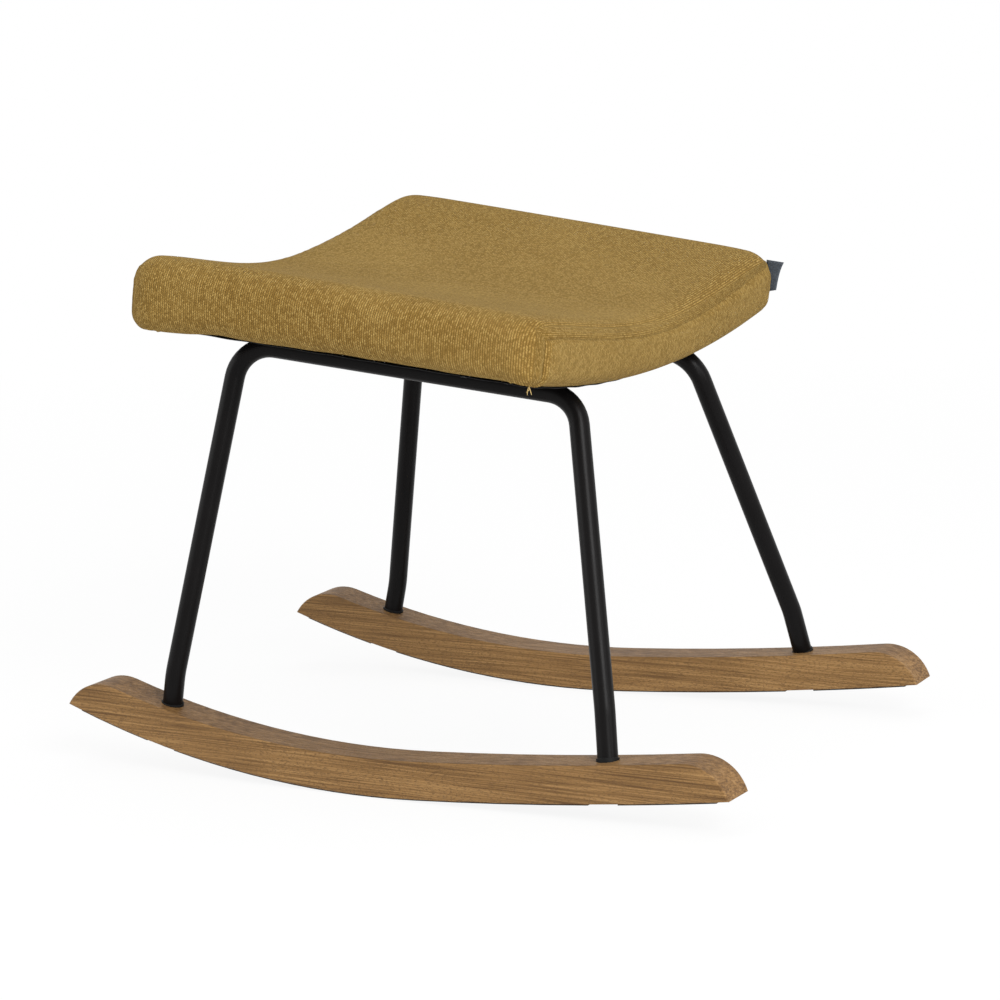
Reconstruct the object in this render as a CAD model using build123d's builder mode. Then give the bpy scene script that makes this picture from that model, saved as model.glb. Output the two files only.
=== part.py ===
from build123d import *
import os
from math import acos, asin, cos, degrees, radians, sin, sqrt

# A rocking footstool: an upholstered, dished seat on two bent-tube side frames, whose
# legs stand in two solid-wood rockers.
#
# X runs along the rockers, +X towards their long flat tails and the seat's low end.
# Y runs across the stool and Z is up. Left and right are as seen from the low end,
# so the left side is -Y. The origin is on the floor under the middle of the rockers.
# Lengths are in millimetres and angles in degrees.

# ---- Rockers ------------------------------------------------------------------------
rocker_length = 580.7
rocker_width = 36.5
rocker_depth = 30.0
rocker_radius = 790.0          # underside, round the place where it stands at rest
tail_radius = 3240.0           # underside of the flatter tail
tail_start = 3.2               # where the tail begins, as an angle past the rest point
rest_x = -19.5                 # where the rockers touch the floor at rest
rocker_half_spacing = 192.4    # from the middle of the stool to a rocker, at x = 0
rocker_toe = 1.335             # each rocker turns outwards towards the tail
nose_radius = 36.5             # the rounded top of each end
rocker_edge = 1.2              # eased edges

# Strips stuck under the rockers, interrupted at the screws
strip_thickness = 1.2
strip_width = 31.0
strip_gap = 25.0
strip_end_margin = 11.0
glue_gap = 0.1

# ---- Bent-tube side frames ----------------------------------------------------------
tube_diameter = 16.0
tube_wall = 1.5
shoulder_bend = 30.0           # bend from bar to leg, at the tube's middle line
ankle_bend = 60.0              # slight bend just above the rocker
high_foot_x = -202.6
low_foot_x = 183.6
high_ankle = (4.6, 1.5, 24.9)  # from the foot to the ankle: along, outwards, up
low_ankle = (-5.9, -8.8, 36.2)
high_shoulder_u = -115.1       # bar corners, along the seat from its middle
low_shoulder_u = 159.2
high_shoulder_y = 150.1
low_shoulder_y = 110.2

leg_socket_depth = 15.0
leg_socket_clearance = 0.15
collar_diameter = 18.0
collar_height = 1.6
collar_skirt = 6.0
collar_round = 0.6

# Screws from below into threaded plugs in the legs
plug_length = 18.0
plug_clearance = 0.05
screw_diameter = 6.0
screw_clearance = 0.3
screw_head_diameter = 10.5
screw_head_height = 3.3
screw_head_round = 2.0
screw_thread_length = 16.0
screw_drive = 4.0              # hexagon, across its flats
screw_drive_depth = 2.0
screw_web = 7.0                # wood between the leg's end and the washer
washer_diameter = 12.0
washer_thickness = 1.0
counterbore_diameter = 13.0

# ---- Seat ---------------------------------------------------------------------------
seat_x = -26.1
seat_height = 393.4            # of the seat's reference plane, above its middle
seat_slope = 7.3
seat_length = 361.0
seat_width = 460.0
corner_radius = 26.0
least_corner = 3.0             # in outlines drawn in by the corner radius or more
top_round = 18.0
under_round = 12.0
# Heights of the dished top and underside at the edge and in the middle, at either end
top_dish = ((10.0, -24.0), (12.0, -15.0))
under_dish = ((-52.0, -61.3), (-40.0, -62.8))
cover_thickness = 1.6
layer_gap = 0.05
flap_width = 28.0              # cover turned in under the shell
seam_from_end = 6.0
shell_thickness = 9.0
shell_edge = 1.5
shell_margin = 1.0             # from where the cover begins to turn up to the shell's edge
lining_thickness = 0.8
lining_margin = 15.0
lining_clearance = 0.3

tag_width = 24.0
tag_reach = 15.0
tag_thickness = 1.6            # both layers of the loop and the gap between them
tag_ribbon = 0.5
tag_fold_round = 0.45
tag_gap = 0.2
tag_top = 1.0
tag_inset = 5.0                # from the widest part of the seat

# Seat fixings
high_tab_u = -80.0
low_tab_u = 110.0
tab_length = 38.0
tab_width = 38.0
tab_thickness = 4.0
tab_outside = 11.0             # reach of the tab beyond the middle of the bar
tab_corner = 6.0
tab_bolt_inset = 17.0          # from the middle of the bar to the bolt
tab_window_gap = 1.5
weld_gap = 0.05
thread_clearance = 0.05
nut_flange_diameter = 18.0
nut_flange_thickness = 1.5
nut_barrel_diameter = 8.0
nut_barrel_length = 7.5
nut_pocket_clearance = 0.4     # in the foam, above the T-nut and the bolt's end
bolt_length = 14.0

cross_tube_diameter = 12.0
cross_tube_wall = 1.2
cross_tube_clearance = 0.5
high_cross_u = -40.0
low_cross_u = 70.0

sides = {"left": -1, "right": 1}
ends = {"high": -1, "low": 1}
os.makedirs("parts", exist_ok=True)


def save(name, part):
    part.label = name
    export_step(part, f"parts/{name}.step")


# ---- Rocker outline -----------------------------------------------------------------
# Angles on the arcs are measured from straight down, positive towards +X.
def on_arc(centre, radius, angle):
    return (
        centre[0] + radius * sin(radians(angle)),
        centre[1] - radius * cos(radians(angle)),
    )


def outline_arc(centre, radius, start, end):
    return CenterArc(centre, radius, start - 90, end - start)


half_length = rocker_length / 2
rock_centre = (rest_x, rocker_radius + strip_thickness)
tail_centre = on_arc(rock_centre, rocker_radius - tail_radius, tail_start)
high_tip = degrees(asin((-half_length - rock_centre[0]) / rocker_radius))
low_tip = degrees(asin((half_length - tail_centre[0]) / tail_radius))


def nose_start(centre, radius, tip_angle, end):
    """Angle on the top arc where the nose that runs down to the tip begins."""
    top = radius - rocker_depth
    reach = top + nose_radius
    turn = acos((reach**2 + radius**2 - nose_radius**2) / (2 * reach * radius))
    return tip_angle - end * degrees(turn)


def rocker_plane(side):
    toe = radians(rocker_toe)
    along = Vector(cos(toe), side * sin(toe), 0)
    return Plane(
        origin=(0, side * rocker_half_spacing, 0),
        x_dir=along,
        z_dir=along.cross(Vector(0, 0, 1)),
    )


def rocker_top(x):
    """Height of the rocker's upper face at x."""
    on_tail = x > on_arc(rock_centre, rocker_radius, tail_start)[0]
    centre = tail_centre if on_tail else rock_centre
    radius = (tail_radius if on_tail else rocker_radius) - rocker_depth
    return centre[1] - sqrt(radius**2 - (x - centre[0]) ** 2)


def underside_runs(start_x, end_x):
    """The arcs of the underside between two places, as (centre, radius, start, end)."""
    runs = []
    for centre, radius, low, high in (
        (rock_centre, rocker_radius, high_tip, tail_start),
        (tail_centre, tail_radius, tail_start, low_tip),
    ):
        start = max(low, degrees(asin((start_x - centre[0]) / radius)))
        end = min(high, degrees(asin((end_x - centre[0]) / radius)))
        if end > start:
            runs.append((centre, radius, start, end))
    return runs


# ---- Leg ends -----------------------------------------------------------------------
# A leg end stands on a plane at the rocker's top whose Z axis runs up the leg.
def foot_plane(side, end):
    x = low_foot_x if end > 0 else high_foot_x
    along, outwards, up = low_ankle if end > 0 else high_ankle
    foot = rocker_plane(side).from_local_coords((x, rocker_top(x), 0))
    return Plane(origin=foot, z_dir=Vector(along, side * outwards, up).normalized())


def ankle_point(side, end):
    length = Vector(*(low_ankle if end > 0 else high_ankle)).length
    return foot_plane(side, end).from_local_coords((0, 0, length))


# ---- Seat frame of reference --------------------------------------------------------
# On the seat plane, local x runs down the slope, y across and z square to the seat.
slope = radians(seat_slope)
seat_plane = Plane(
    origin=(seat_x, 0, seat_height),
    x_dir=(cos(slope), 0, -sin(slope)),
    z_dir=(sin(slope), 0, cos(slope)),
)


def section_plane(u):
    """A plane across the seat at u, with local x across the stool and y up."""
    origin = seat_plane.from_local_coords((u, 0, 0))
    return Plane(origin=origin, x_dir=(0, 1, 0), z_dir=seat_plane.x_dir)


half_width = seat_width / 2
shell_inset = under_round + shell_margin
shell_bottom = cover_thickness + layer_gap
shell_top = shell_bottom + shell_thickness


def dish_levels(dish, u):
    """Heights at the edge and in the middle of a dished surface, at u."""
    share = u / seat_length + 0.5
    return [high + share * (low - high) for high, low in zip(*dish)]


def dish_arc(dish, u, shift):
    """Centre height and radius of a dished surface's arc at u, moved up by shift."""
    edge, middle = dish_levels(dish, u)
    rise = edge - middle
    radius = (half_width**2 + rise**2) / (2 * rise)
    return middle + radius + shift, radius


def dish_height(dish, u, y, shift=0.0):
    centre, radius = dish_arc(dish, u, shift)
    return centre - sqrt(radius**2 - y**2)


def under_shell(u, y):
    """A point on the underside of the shell."""
    height = dish_height(under_dish, u, y, shell_bottom)
    return seat_plane.from_local_coords((u, y, height))


def under_normal(u, y):
    """Upward normal of the shell's underside."""
    along = under_shell(u + 1, y) - under_shell(u - 1, y)
    across = under_shell(u, y + 1) - under_shell(u, y - 1)
    return along.cross(across).normalized()


def bar_point(u, y):
    """The middle of a bar that carries the shell at u and y, on its tabs."""
    drop = tab_thickness + tube_diameter / 2 + 2 * weld_gap
    return under_shell(u, y) - under_normal(u, y) * drop


def shoulder_point(side, end):
    u = low_shoulder_u if end > 0 else high_shoulder_u
    y = low_shoulder_y if end > 0 else high_shoulder_y
    return bar_point(u, side * y)


def bar_y(u):
    """Distance from the middle of the stool to the bar of a side frame, at u."""
    share = (u - high_shoulder_u) / (low_shoulder_u - high_shoulder_u)
    return high_shoulder_y + share * (low_shoulder_y - high_shoulder_y)


# ---- Rockers, their strips, collars and screws --------------------------------------
def strip_gap_at(end):
    """Where the strips are interrupted, under the middle of a leg's screw."""
    along, outwards, up = low_ankle if end > 0 else high_ankle
    foot = low_foot_x if end > 0 else high_foot_x
    return foot - rocker_depth / 2 * along / up


def cylinder_on(plane, diameter, start, length, bore=0.0):
    """A round bar or tube along the plane's Z axis, from start."""
    with BuildPart() as piece:
        with BuildSketch(plane.offset(start)):
            Circle(diameter / 2)
            if bore:
                Circle(bore / 2, mode=Mode.SUBTRACT)
        extrude(amount=length)
    return piece.part


def head_bolt(plane, head_at, length):
    """A button-head bolt along +Z of the plane, whose head seats at head_at."""
    with BuildPart() as bolt:
        with BuildSketch(plane.offset(head_at)):
            Circle(screw_diameter / 2)
        extrude(amount=length)
        with BuildSketch(plane.offset(head_at)):
            Circle(screw_head_diameter / 2)
        extrude(amount=-screw_head_height)
        crown = bolt.edges().filter_by(GeomType.CIRCLE)
        crown = crown.sort_by(Axis(plane.origin, plane.z_dir))[0]
        fillet(crown, radius=screw_head_round)
        with BuildSketch(plane.offset(head_at - screw_head_height)):
            RegularPolygon(screw_drive / 2, 6, major_radius=False)
        extrude(amount=screw_drive_depth, mode=Mode.SUBTRACT)
    return bolt.part


socket_diameter = tube_diameter + 2 * leg_socket_clearance
plug_diameter = tube_diameter - 2 * (tube_wall + plug_clearance)
screw_hole = screw_diameter + 2 * screw_clearance
washer_seat = -(leg_socket_depth + screw_web)
thread_bore = screw_diameter + 2 * thread_clearance

plugs = []
screws = []
washers = []
collars = []
for side_name, side in sides.items():
    with BuildPart() as rocker:
        with BuildSketch(rocker_plane(side)):
            with BuildLine():
                high_nose = nose_start(rock_centre, rocker_radius, high_tip, -1)
                low_nose = nose_start(tail_centre, tail_radius, low_tip, 1)
                outline_arc(rock_centre, rocker_radius, high_tip, tail_start)
                outline_arc(tail_centre, tail_radius, tail_start, low_tip)
                low_top = tail_radius - rocker_depth
                TangentArc(
                    on_arc(tail_centre, low_top, low_nose),
                    on_arc(tail_centre, tail_radius, low_tip),
                    tangent=(cos(radians(low_nose)), sin(radians(low_nose))),
                )
                outline_arc(tail_centre, low_top, low_nose, tail_start)
                high_top = rocker_radius - rocker_depth
                outline_arc(rock_centre, high_top, tail_start, high_nose)
                TangentArc(
                    on_arc(rock_centre, high_top, high_nose),
                    on_arc(rock_centre, rocker_radius, high_tip),
                    tangent=(-cos(radians(high_nose)), -sin(radians(high_nose))),
                )
            make_face()
        extrude(amount=rocker_width / 2, both=True)
        outlines = rocker.faces().filter_by(GeomType.PLANE).edges()
        fillet(outlines, radius=rocker_edge)
        for end in ends.values():
            foot = foot_plane(side, end)
            with BuildSketch(foot.offset(rocker_depth)):
                Circle(socket_diameter / 2)
            extrude(amount=-(rocker_depth + leg_socket_depth), mode=Mode.SUBTRACT)
            with BuildSketch(foot):
                Circle(screw_hole / 2)
            extrude(amount=-2 * rocker_depth, mode=Mode.SUBTRACT)
            with BuildSketch(foot.offset(washer_seat)):
                Circle(counterbore_diameter / 2)
            extrude(amount=-rocker_depth, mode=Mode.SUBTRACT)
    save(f"rocker_{side_name}", rocker.part)

    stops = [
        (-half_length + strip_end_margin, strip_gap_at(-1) - strip_gap / 2),
        (strip_gap_at(-1) + strip_gap / 2, strip_gap_at(1) - strip_gap / 2),
        (strip_gap_at(1) + strip_gap / 2, half_length - strip_end_margin),
    ]
    with BuildPart() as strips:
        for start_x, end_x in stops:
            with BuildSketch(rocker_plane(side)):
                for centre, radius, start, end in underside_runs(start_x, end_x):
                    inner = radius + glue_gap
                    outer = radius + strip_thickness
                    with BuildLine():
                        outline_arc(centre, inner, start, end)
                        outline_arc(centre, outer, start, end)
                        for angle in (start, end):
                            Line(on_arc(centre, inner, angle), on_arc(centre, outer, angle))
                    make_face()
            extrude(amount=strip_width / 2, both=True)
    save(f"floor_strips_{side_name}", strips.part)

    for end in ends.values():
        foot = foot_plane(side, end)
        plug_end = -leg_socket_depth
        plugs.append(cylinder_on(foot, plug_diameter, plug_end, plug_length, thread_bore))
        washers.append(
            cylinder_on(foot, washer_diameter, washer_seat, -washer_thickness, screw_hole)
        )
        screws.append(
            head_bolt(foot, washer_seat - washer_thickness, screw_web + screw_thread_length)
        )
        with BuildPart() as collar:
            add(cylinder_on(foot, collar_diameter, -collar_skirt, collar_skirt + collar_height))
            rim = collar.edges().filter_by(GeomType.CIRCLE)
            rim = rim.sort_by(Axis(foot.origin, foot.z_dir))[-1]
            fillet(rim, radius=collar_round)
            with BuildSketch(foot.offset(-collar_skirt)):
                Circle(socket_diameter / 2)
            extrude(amount=2 * (collar_skirt + collar_height), mode=Mode.SUBTRACT)
            add(rocker.part, mode=Mode.SUBTRACT)
        collars.append(collar.part)

save("leg_plugs", Compound(children=plugs))
save("rocker_washers", Compound(children=washers))
save("rocker_screws", Compound(children=screws))
save("leg_collars", Compound(children=collars))

# ---- Side frames and cross tubes ----------------------------------------------------
frame_envelopes = []
for side_name, side in sides.items():
    high_end = foot_plane(side, -1).from_local_coords((0, 0, -leg_socket_depth))
    low_end = foot_plane(side, 1).from_local_coords((0, 0, -leg_socket_depth))
    corners = [
        high_end,
        ankle_point(side, -1),
        shoulder_point(side, -1),
        shoulder_point(side, 1),
        ankle_point(side, 1),
        low_end,
    ]
    with BuildPart() as side_frame:
        with BuildLine() as run:
            FilletPolyline(*corners, radius=[ankle_bend, shoulder_bend, shoulder_bend, ankle_bend])
        with BuildSketch(Plane(origin=run.line @ 0, z_dir=run.line % 0)):
            Circle(tube_diameter / 2)
            Circle(tube_diameter / 2 - tube_wall, mode=Mode.SUBTRACT)
        sweep()
    save(f"side_frame_{side_name}", side_frame.part)
    bar = shoulder_point(side, 1) - shoulder_point(side, -1)
    frame_envelopes.append(
        cylinder_on(
            Plane(origin=shoulder_point(side, -1), z_dir=bar.normalized()),
            tube_diameter + 2 * weld_gap,
            0,
            bar.length,
        )
    )

under_lining = cover_thickness - lining_thickness - cross_tube_clearance
for end_name, end in ends.items():
    u = low_cross_u if end > 0 else high_cross_u
    middle = dish_height(under_dish, u, 0, under_lining - cross_tube_diameter / 2)
    origin = seat_plane.from_local_coords((u, -bar_y(u), middle))
    with BuildPart() as cross_tube:
        with BuildSketch(Plane(origin=origin, z_dir=(0, 1, 0))):
            Circle(cross_tube_diameter / 2)
            Circle(cross_tube_diameter / 2 - cross_tube_wall, mode=Mode.SUBTRACT)
        extrude(amount=2 * bar_y(u))
        for envelope in frame_envelopes:
            add(envelope, mode=Mode.SUBTRACT)
    save(f"cross_tube_{end_name}", cross_tube.part)

# ---- Seat body ----------------------------------------------------------------------
def seat_plan(inset):
    """The seat's outline seen square to the seat, drawn in by inset."""
    with BuildSketch(seat_plane) as plan:
        RectangleRounded(
            seat_length - 2 * inset,
            seat_width - 2 * inset,
            max(corner_radius - inset, least_corner),
        )
    return plan.sketch


def dished_slab(dishes, shifts, plan_inset):
    """A slab between two dished surfaces, each moved up by its shift, cut to the plan."""
    reach = half_width + corner_radius
    with BuildPart() as slab:
        for u in (-seat_length / 2 - corner_radius, seat_length / 2 + corner_radius):
            with BuildSketch(section_plane(u)):
                with BuildLine():
                    arcs = []
                    for dish, shift in zip(dishes, shifts):
                        centre, radius = dish_arc(dish, u, shift)
                        half_angle = degrees(asin(reach / radius))
                        start = -90 - half_angle
                        arcs.append(CenterArc((0, centre), radius, start, 2 * half_angle))
                    Line(arcs[0] @ 0, arcs[1] @ 0)
                    Line(arcs[0] @ 1, arcs[1] @ 1)
                make_face()
        loft(ruled=True)
        extrude(seat_plan(plan_inset), amount=seat_length, both=True, mode=Mode.INTERSECT)
    return slab.part


def under_layer(low, high, plan_inset):
    """A layer along the dished underside, between two heights above it."""
    return dished_slab((under_dish, under_dish), (low, high), plan_inset)


def dish_faces(part):
    """The dished underside and top, the two largest faces of the seat's body."""
    return part.faces().sort_by(SortBy.AREA)[-2:].sort_by(Axis.Z)


def pad_form(inset):
    """The rounded body of the seat, drawn in by inset all round."""
    with BuildPart() as form:
        add(dished_slab((under_dish, top_dish), (inset, -inset), inset))
        fillet(dish_faces(form)[0].edges(), radius=under_round - inset)
        fillet(dish_faces(form)[1].edges(), radius=top_round - inset)
    return form.part


inner_form = pad_form(cover_thickness)

# Bolts, washers and T-nuts stand on planes on the shell's underside, Z up through it.
fixing_planes = []
tab_planes = {}
for side_name, side in sides.items():
    bar = (shoulder_point(side, 1) - shoulder_point(side, -1)).normalized()
    for end_name, end in ends.items():
        u = low_tab_u if end > 0 else high_tab_u
        normal = under_normal(u, side * bar_y(u))
        tab_plane = Plane(
            origin=under_shell(u, side * bar_y(u)) - normal * weld_gap,
            x_dir=bar,
            z_dir=normal,
        )
        tab_planes[f"{end_name}_{side_name}"] = tab_plane
        inwards = side * tab_bolt_inset
        fixing_planes.append(tab_plane.shift_origin(tab_plane.from_local_coords((0, -inwards))))

tabs = {}
for name, tab_plane in tab_planes.items():
    side = sides[name.split("_")[1]]
    with BuildPart() as tab:
        with BuildSketch(tab_plane):
            with Locations((0, side * (tab_outside - tab_length / 2))):
                RectangleRounded(tab_width, tab_length, tab_corner)
            with Locations((0, -side * tab_bolt_inset)):
                Circle(screw_hole / 2, mode=Mode.SUBTRACT)
        extrude(amount=-tab_thickness)
    tabs[name] = tab.part
    save(f"seat_tab_{name}", tab.part)

flange_start = weld_gap + shell_thickness - nut_flange_thickness / 2
bolts = []
bolt_washers = []
nuts = []
for plane in fixing_planes:
    seat_at = -tab_thickness - weld_gap
    bolt_washers.append(
        cylinder_on(plane, washer_diameter, seat_at, -washer_thickness, screw_hole)
    )
    bolts.append(head_bolt(plane, seat_at - washer_thickness, bolt_length + washer_thickness))
    with BuildPart() as nut:
        barrel_start = flange_start - nut_barrel_length
        add(cylinder_on(plane, nut_barrel_diameter, barrel_start, nut_barrel_length))
        add(cylinder_on(plane, nut_flange_diameter, flange_start, nut_flange_thickness))
        with BuildSketch(plane):
            Circle(thread_bore / 2)
        extrude(amount=2 * shell_top, mode=Mode.SUBTRACT)
    nuts.append(nut.part)
save("seat_bolts", Compound(children=bolts))
save("seat_bolt_washers", Compound(children=bolt_washers))
save("t_nuts", Compound(children=nuts))

# The shell is a sheet of moulded plywood with holes for the bolts and T-nuts.
with BuildPart() as seat_shell:
    add(under_layer(shell_bottom, shell_top, shell_inset))
    fillet(seat_shell.faces().sort_by(SortBy.AREA)[-1].edges(), radius=shell_edge)
    for plane, nut in zip(fixing_planes, nuts):
        with BuildSketch(plane.offset(-tab_thickness)):
            Circle(screw_hole / 2)
        extrude(amount=tab_thickness + 2 * shell_top, mode=Mode.SUBTRACT)
        add(nut, mode=Mode.SUBTRACT)
save("seat_shell", seat_shell.part)

# The foam fills the cover above the shell and wraps round its edge.
with BuildPart() as foam_pad:
    add(inner_form)
    pocket_inset = shell_inset - layer_gap
    add(under_layer(-cover_thickness, shell_top + layer_gap, pocket_inset), mode=Mode.SUBTRACT)
    pocket_top = flange_start + nut_flange_thickness + nut_pocket_clearance
    for plane in fixing_planes:
        pocket = cylinder_on(plane, nut_flange_diameter + 2 * layer_gap, 0, pocket_top)
        add(pocket, mode=Mode.SUBTRACT)
save("foam_pad", foam_pad.part)

# The opening between the flaps is cut from a level between the dished top and underside.
opening_top = (max(levels[0] for levels in under_dish) + min(levels[1] for levels in top_dish)) / 2

# The cover is sewn from a middle panel and two end panels and turned in underneath.
with BuildPart() as cover:
    add(pad_form(0))
    add(inner_form, mode=Mode.SUBTRACT)
    opening = seat_plan(flap_width).moved(Location(seat_plane.z_dir * opening_top))
    extrude(opening, amount=-seat_length, mode=Mode.SUBTRACT)

seam_u = seat_length / 2 - seam_from_end
panels = {
    "cover_end_high": (-seat_length, -seam_u),
    "cover_main": (-seam_u, seam_u),
    "cover_end_low": (seam_u, seat_length),
}
for name, (start_u, end_u) in panels.items():
    with BuildPart() as panel:
        add(cover.part)
        with BuildSketch(seat_plane):
            with Locations(((start_u + end_u) / 2, 0)):
                Rectangle(end_u - start_u, 2 * seat_width)
        extrude(amount=seat_length, both=True, mode=Mode.INTERSECT)
    save(name, panel.part)

# The lining lies over the cover's flaps and dips between them onto the shell.
with BuildPart() as flap_zone:
    add(under_layer(-layer_gap, 2 * cover_thickness, 0))
    add(
        under_layer(-cover_thickness, 3 * cover_thickness, flap_width + lining_clearance),
        mode=Mode.SUBTRACT,
    )
with BuildPart() as underside_lining:
    add(under_layer(-layer_gap - lining_thickness, cover_thickness, lining_margin))
    add(flap_zone.part, mode=Mode.SUBTRACT)
    add(
        under_layer(
            -2 * lining_thickness,
            cover_thickness - lining_thickness,
            flap_width + lining_clearance + lining_thickness,
        ),
        mode=Mode.SUBTRACT,
    )
    for name, tab_plane in tab_planes.items():
        side = sides[name.split("_")[1]]
        with BuildSketch(tab_plane.offset(-shell_top)):
            with Locations((0, side * (tab_outside - tab_length / 2))):
                RectangleRounded(
                    tab_width + 2 * tab_window_gap,
                    tab_length + 2 * tab_window_gap,
                    tab_corner + tab_window_gap,
                )
        extrude(amount=2 * shell_top, mode=Mode.SUBTRACT)
save("underside_lining", underside_lining.part)

# A plain woven loop stands in the seam at the low end's right corner.
tag_y = half_width - tag_inset
corner_reach = sqrt(corner_radius**2 - (corner_radius - tag_inset) ** 2)
tag_root = seat_length / 2 - corner_radius + corner_reach + tag_gap + tag_thickness / 2
with BuildPart() as woven_tag:
    with BuildSketch(seat_plane.offset(tag_top - tag_width)):
        with Locations((tag_root + tag_reach / 2, tag_y)):
            Rectangle(tag_reach, tag_thickness)
        with Locations((tag_root + (tag_reach - tag_ribbon) / 2, tag_y)):
            Rectangle(tag_reach - tag_ribbon, tag_thickness - 2 * tag_ribbon, mode=Mode.SUBTRACT)
    extrude(amount=tag_width)
    fold = woven_tag.edges().filter_by(Axis(seat_plane.origin, seat_plane.z_dir))
    fold = fold.sort_by(Axis(seat_plane.origin, seat_plane.x_dir))[-2:]
    fillet(fold, radius=tag_fold_round)
save("woven_tag", woven_tag.part)
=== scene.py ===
import bpy
import math
from mathutils import Matrix, Vector, noise


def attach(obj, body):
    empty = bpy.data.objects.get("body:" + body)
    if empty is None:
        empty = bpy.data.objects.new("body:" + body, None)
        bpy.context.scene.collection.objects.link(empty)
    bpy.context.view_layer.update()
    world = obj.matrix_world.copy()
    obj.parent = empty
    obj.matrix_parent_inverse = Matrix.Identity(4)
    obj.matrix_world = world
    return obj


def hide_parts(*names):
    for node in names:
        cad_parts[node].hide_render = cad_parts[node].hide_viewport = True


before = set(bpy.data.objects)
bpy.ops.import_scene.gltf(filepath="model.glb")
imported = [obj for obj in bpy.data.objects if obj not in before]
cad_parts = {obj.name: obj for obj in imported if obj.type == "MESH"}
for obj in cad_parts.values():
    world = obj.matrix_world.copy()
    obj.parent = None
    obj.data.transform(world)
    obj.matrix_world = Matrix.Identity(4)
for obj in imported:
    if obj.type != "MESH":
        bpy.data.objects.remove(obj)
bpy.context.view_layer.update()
print("frame loaded with", len(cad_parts), "nodes")

# Metres and degrees. The seat leans down towards +X, where the rockers' long tails are,
# and the photograph shows the -Y side.


# one value or colour on its way through a material; sums on it become Math nodes
class Wire:
    def __init__(self, finish, socket):
        self.finish = finish
        self.socket = socket

    def out(self, number):
        return Wire(self.finish, self.socket.node.outputs[number])

    def calc(self, operation, *others):
        values = dict(enumerate([self, *others]))
        return self.finish.add("ShaderNodeMath", {"operation": operation}, values)

    def __add__(self, other):
        return self.calc("ADD", other)

    __radd__ = __add__

    def __mul__(self, other):
        return self.calc("MULTIPLY", other)

    __rmul__ = __mul__

    def __sub__(self, other):
        return self.calc("SUBTRACT", other)

    def __rsub__(self, other):
        return (self * -1) + other

    def __truediv__(self, other):
        return self.calc("DIVIDE", other)

    def fraction(self):
        return self.calc("FRACT")

    def wave(self):
        return (self.fraction() * math.pi).calc("SINE")  # one round bump per unit

    def clip(self):
        return self.calc("MAXIMUM", 0).calc("MINIMUM", 1)


class Finish:
    def __init__(self, holder):
        holder.use_nodes = True
        self.holder = holder
        self.tree = holder.node_tree
        self.tree.nodes.clear()

    def add(self, kind, settings=None, sockets=None, out=0):
        node = self.tree.nodes.new(kind)
        for name, value in (settings or {}).items():
            if name == "stops":
                ramp = node.color_ramp
                while len(ramp.elements) < len(value):
                    ramp.elements.new(0.5)
                for stop, (place, colour) in zip(ramp.elements, value):
                    stop.position = place
                    stop.color = colour
            else:
                setattr(node, name, value)
        for name, value in (sockets or {}).items():
            if isinstance(value, Wire):
                self.tree.links.new(value.socket, node.inputs[name])
            else:
                node.inputs[name].default_value = value
        return Wire(self, node.outputs[out]) if node.outputs else None

    def place(self):
        return self.add("ShaderNodeTexCoord", out=3)

    def mix(self, share, first, second):
        colours = {0: share, 6: first, 7: second}
        return self.add("ShaderNodeMix", {"data_type": "RGBA"}, colours, out=2)

    def noise(self, place, scale, detail=2.0, roughness=0.5, out=0):
        sockets = {"Vector": place, "Scale": scale, "Detail": detail, "Roughness": roughness}
        return self.add("ShaderNodeTexNoise", {}, sockets, out=out)

    def stretch(self, place, by):
        return self.add("ShaderNodeVectorMath", {"operation": "MULTIPLY"}, {0: place, 1: by})

    def split(self, vector):
        return self.add("ShaderNodeSeparateXYZ", {}, {0: vector})

    def join(self, x, y, z):
        return self.add("ShaderNodeCombineXYZ", {}, {0: x, 1: y, 2: z})

    def ramp(self, value, stops):
        return self.add("ShaderNodeValToRGB", {"stops": stops}, {"Fac": value})

    def bump(self, height, distance):
        return self.add("ShaderNodeBump", {}, {"Height": height, "Distance": distance})

    def surface(self, **sockets):
        sockets = {name.replace("_", " "): value for name, value in sockets.items()}
        shader = self.add("ShaderNodeBsdfPrincipled", {}, sockets)
        self.add("ShaderNodeOutputMaterial", {}, {"Surface": shader})
        return self.holder

    # one for the rays that see white whatever the light is: from the camera, mirrored, let through
    def seenWhite(self):
        path = self.add("ShaderNodeLightPath")
        return (path + path.out(3) + path.out(6)).clip()


def newFinish(name):
    return Finish(bpy.data.materials.new(name))


def rgb(red, green, blue):
    return (red, green, blue, 1)


# mustard cover cloth: close ribs of looped yarn, every other rib half a loop on
coverCloth = {
    "ribPitch": 0.0019,
    "loopPitch": 0.0021,
    "loopSlant": 0.55,
    "yarn": rgb(0.302, 0.182, 0.045),
    "paleYarn": rgb(0.440, 0.292, 0.092),
    # the dark yarn, also the colour of the painted shade in the hollows and the sewn crease
    "darkYarnAndShade": rgb(0.165, 0.092, 0.019),
    "paintedHollowShadeStrength": 1.3,
    "relief": 0.65,
    "wander": 0.0007,
    "wanderScale": 70.0,
    "melangeScale": (1500, 1000, 1),
    "slubScale": (600, 90, 1),
    "fuzzScale": 2300.0,
    "cloudScale": 9.0,
    "creaseWidth": 0.0011,
    "creaseDepth": 0.9,
    "creaseWander": 0.0022,
    "gatherScale": (260, 60),
    "gatherAt": 0.002,
    "gatherReach": 0.0075,
    "gatherDepth": 0.55,
}


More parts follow.
